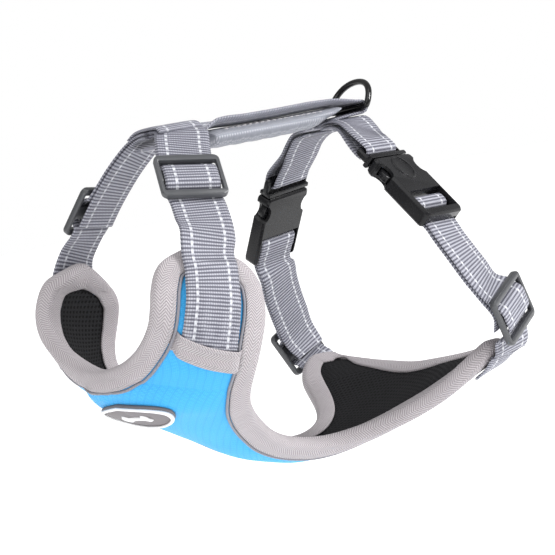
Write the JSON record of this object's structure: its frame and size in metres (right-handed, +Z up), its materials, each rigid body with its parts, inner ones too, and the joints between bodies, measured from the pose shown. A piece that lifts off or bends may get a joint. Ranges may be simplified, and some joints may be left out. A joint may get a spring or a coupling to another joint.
{
  "type": "dog harness",
  "caption": "Step-in dog harness for walking: padded chest vest, adjustable neck and girth straps, side-release buckles, padded back strap and a lead ring.",
  "frame": {"origin": "middle of the wearer's chest on the mid plane, which the wearer's body holds", "axes": "+Z up; the wearer faces -X and the wearer's left side is at -Y; the back strap lies along X"},
  "size_m": [0.1961, 0.1734, 0.1754],
  "materials": {
    "vest_fabric": "bright blue woven polyester",
    "foam": "thin foam sheet",
    "mesh_lining": "black perforated mesh",
    "binding_tape": "herringbone twill tape",
    "piping": "smooth covered cord",
    "webbing": "ribbed webbing with two pale lines",
    "sleeve": "padded sleeve of smooth cloth",
    "slider_plastic": "moulded, fine matt",
    "buckle_plastic": "moulded, satin",
    "ring_metal": "gloss black",
    "patch_rubber": "soft moulded",
    "patch_print": "raised and pale"
  },
  "bodies": {
    "harness": {"vest_outer_shell": "vest_fabric", "vest_padding": "foam", "vest_lining": "mesh_lining", "edge_binding": "binding_tape", "edge_piping": "piping", "left_neck_webbing": "webbing", "left_neck_webbing_return": "webbing", "left_pocket_band": "binding_tape", "left_girth_upper_webbing": "webbing", "left_buckle_male": "buckle_plastic", "left_buckle_housing": "buckle_plastic", "left_girth_webbing": "webbing", "right_neck_webbing": "webbing", "right_neck_webbing_return": "webbing", "right_pocket_band": "binding_tape", "right_girth_upper_webbing": "webbing", "right_buckle_male": "buckle_plastic", "right_buckle_housing": "buckle_plastic", "right_girth_webbing": "webbing", "back_strap_webbing": "webbing", "back_strap_padding": "sleeve", "neck_joint_patch": "webbing", "chest_patch": "patch_rubber", "chest_patch_rim": "patch_print", "chest_patch_bone": "patch_print"},
    "lead_ring": {"lead_ring": "ring_metal"},
    "left_neck_slider": {"left_neck_slider": "slider_plastic"},
    "right_neck_slider": {"right_neck_slider": "slider_plastic"},
    "left_girth_slider": {"left_girth_slider": "slider_plastic"},
    "right_girth_slider": {"right_girth_slider": "slider_plastic"},
    "left_front_release_arm": {"left_front_release_arm": "buckle_plastic"},
    "left_rear_release_arm": {"left_rear_release_arm": "buckle_plastic"},
    "right_front_release_arm": {"right_front_release_arm": "buckle_plastic"},
    "right_rear_release_arm": {"right_rear_release_arm": "buckle_plastic"}
  },
  "joints": [
    {"name": "lead_ring_swing", "type": "hinge", "parent": "harness", "child": "lead_ring", "pos_m": [0.064, 0, 0.0725], "axis": [0, 1, 0], "range_deg": [-62, 45]},
    {"name": "left_neck_slider_slide", "type": "slide", "parent": "harness", "child": "left_neck_slider", "axis": [-0.3573, -0.5852, -0.7279], "range_m": [-0.0008, 0.0008]},
    {"name": "right_neck_slider_slide", "type": "slide", "parent": "harness", "child": "right_neck_slider", "axis": [-0.2791, 0.5935, -0.7549], "range_m": [-0.0008, 0.0008]},
    {"name": "left_girth_slider_slide", "type": "slide", "parent": "harness", "child": "left_girth_slider", "axis": [0.3807, 0.1039, -0.9189], "range_m": [-0.0008, 0.0008]},
    {"name": "right_girth_slider_slide", "type": "slide", "parent": "harness", "child": "right_girth_slider", "axis": [0.364, -0.1955, -0.9106], "range_m": [-0.0008, 0.0008]},
    {"name": "left_front_arm_squeeze", "type": "hinge", "parent": "harness", "child": "left_front_release_arm", "pos_m": [0.03939, -0.04246, 0.0433], "axis": [0.199, -0.7563, 0.6232], "range_deg": [0, 8], "stiffness_Nm_per_rad": 0.05},
    {"name": "left_rear_arm_squeeze", "type": "hinge", "parent": "harness", "child": "left_rear_release_arm", "pos_m": [0.05533, -0.03864, 0.04285], "axis": [0.199, -0.7563, 0.6232], "range_deg": [-8, 0], "stiffness_Nm_per_rad": 0.05},
    {"name": "right_front_arm_squeeze", "type": "hinge", "parent": "harness", "child": "right_front_release_arm", "pos_m": [0.03946, 0.04152, 0.03795], "axis": [-0.1239, 0.8015, 0.585], "range_deg": [-8, 0], "stiffness_Nm_per_rad": 0.05},
    {"name": "right_rear_arm_squeeze", "type": "hinge", "parent": "harness", "child": "right_rear_release_arm", "pos_m": [0.05573, 0.04299, 0.03938], "axis": [-0.1239, 0.8015, 0.585], "range_deg": [0, 8], "stiffness_Nm_per_rad": 0.05}
  ],
  "couplings": [
    {"joint": "left_rear_arm_squeeze", "follows": "left_front_arm_squeeze", "ratio": -1},
    {"joint": "right_rear_arm_squeeze", "follows": "right_front_arm_squeeze", "ratio": -1}
  ]
}
